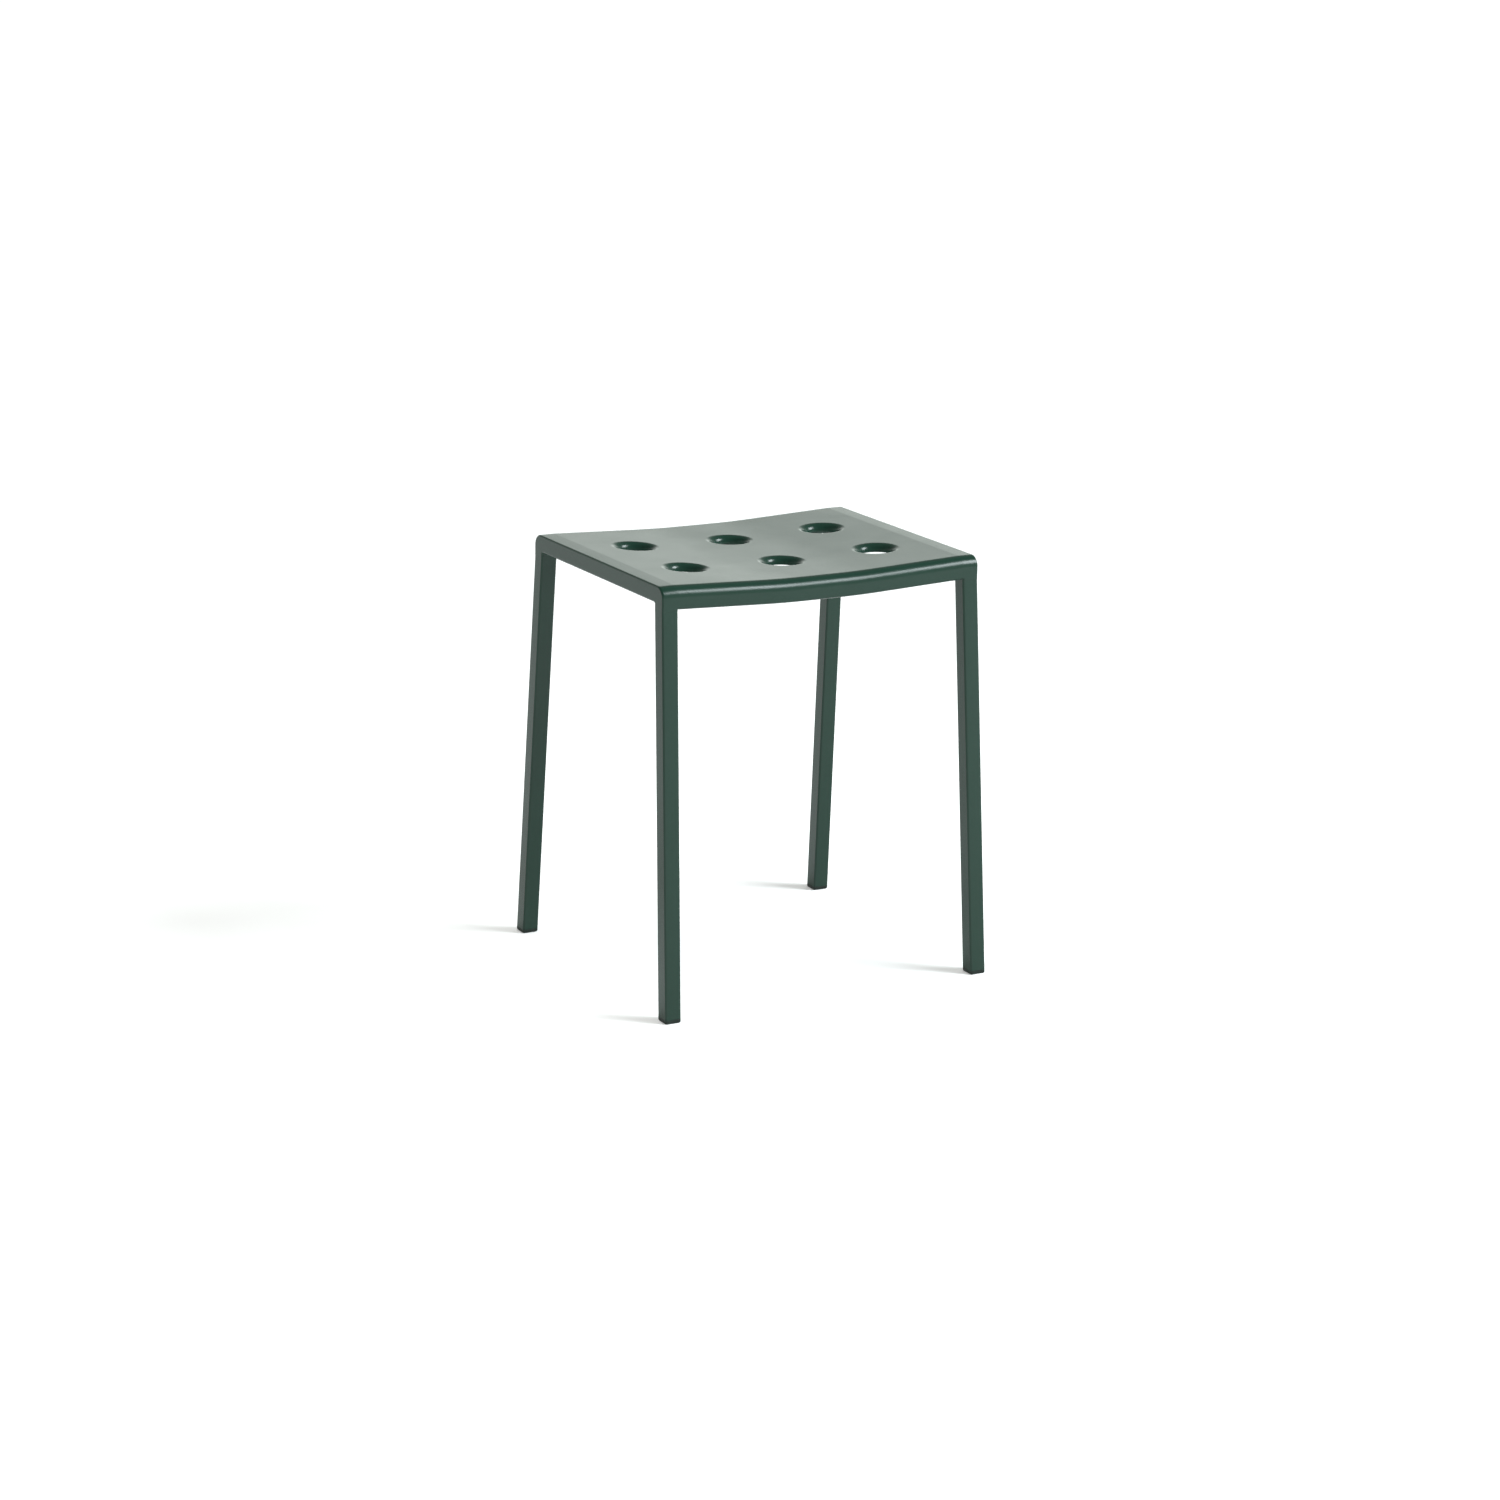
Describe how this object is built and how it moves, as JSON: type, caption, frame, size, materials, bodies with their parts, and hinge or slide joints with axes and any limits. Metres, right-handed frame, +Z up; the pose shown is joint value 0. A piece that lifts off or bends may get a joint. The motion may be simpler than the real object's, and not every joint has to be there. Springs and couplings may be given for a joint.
{
  "type": "backless stool",
  "caption": "Backless one-person stool with splayed square-tube legs and a dished sheet seat with drawn holes.",
  "frame": {"origin": "on the floor under the middle of the seat", "axes": "+X along the seat, +Y to the back, +Z up"},
  "size_m": [0.3896, 0.359, 0.455],
  "materials": {
    "powder_coat": "dark green satin powder coat with a fine texture",
    "glide": "dark matt moulded plastic"
  },
  "bodies": {
    "root": {"seat_panel": "powder_coat", "left_side_rail": "powder_coat", "right_side_rail": "powder_coat", "front_left_leg": "powder_coat", "front_right_leg": "powder_coat", "back_left_leg": "powder_coat", "back_right_leg": "powder_coat", "front_left_glide": "glide", "front_right_glide": "glide", "back_left_glide": "glide", "back_right_glide": "glide"}
  },
  "joints": []
}
